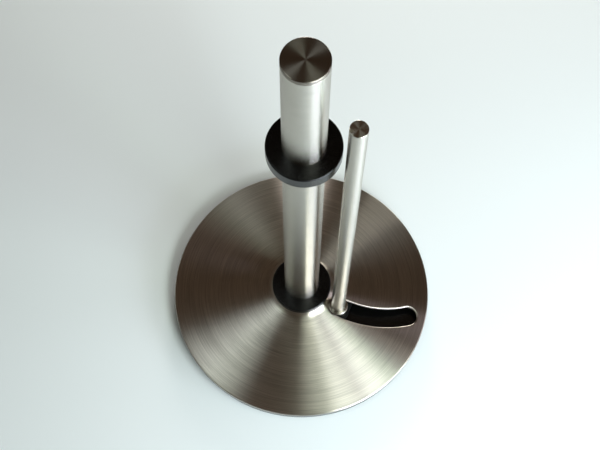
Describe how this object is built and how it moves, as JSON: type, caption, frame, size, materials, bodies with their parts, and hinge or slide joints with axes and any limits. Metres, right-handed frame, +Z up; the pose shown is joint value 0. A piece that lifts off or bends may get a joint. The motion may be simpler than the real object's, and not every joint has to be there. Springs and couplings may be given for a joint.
{
  "type": "paper towel holder",
  "caption": "Free-standing paper towel holder: weighted conical steel base, upright post with black centring rings, and a sprung tension rod in a curved slot.",
  "frame": {"origin": "centre of the rubber foot on the table, under the post", "axes": "+Z up along the post, +X to the right and +Y away from the side on which the tension rod rests"},
  "size_m": [0.17, 0.17, 0.314],
  "materials": {
    "brushed_cover": "stainless steel, brushed in fine circles round the post",
    "brushed_tube": "stainless steel, fine linear brushing",
    "turned_steel": "stainless steel, lathe-turned faces",
    "black_enamel": "satin black paint on pressed steel",
    "cast_iron": "cast iron, dipped in black paint",
    "black_rubber": "matte black rubber",
    "black_plastic": "satin black moulded plastic",
    "zinc_steel": "zinc-plated steel",
    "spring_steel": "dark spring steel",
    "arm_steel": "black-oxided steel plate",
    "brass": "drawn brass",
    "natural_nylon": "natural nylon"
  },
  "bodies": {
    "base": {"base_shell": "brushed_cover", "base_pan": "black_enamel", "base_weight": "cast_iron", "foot_ring": "black_rubber", "pan_screws": "zinc_steel", "post_bolt": "zinc_steel", "clamp_washer": "zinc_steel", "lock_washer": "spring_steel", "post_plug": "zinc_steel", "post_tube": "brushed_tube", "post_cap": "turned_steel", "lower_ring": "black_plastic", "upper_ring": "black_plastic", "pivot_pin": "zinc_steel", "thrust_washer": "natural_nylon", "pivot_washer": "zinc_steel", "retaining_clip": "spring_steel", "torsion_spring": "spring_steel", "spring_peg": "zinc_steel", "stop_pegs": "zinc_steel", "stop_sleeves": "black_rubber"},
    "tension_arm": {"swing_arm": "arm_steel", "pivot_bush": "brass", "tension_rod": "brushed_tube", "rod_ferrule": "turned_steel", "rod_screw": "zinc_steel"}
  },
  "joints": [
    {"name": "arm_swing", "type": "hinge", "parent": "base", "child": "tension_arm", "pos_m": [0.05324, 0.04965, 0.005], "axis": [0, 0, 1], "range_deg": [0, 39], "stiffness_Nm_per_rad": 0.1, "springref_deg": -114.59, "deforming": ["torsion_spring"]}
  ]
}
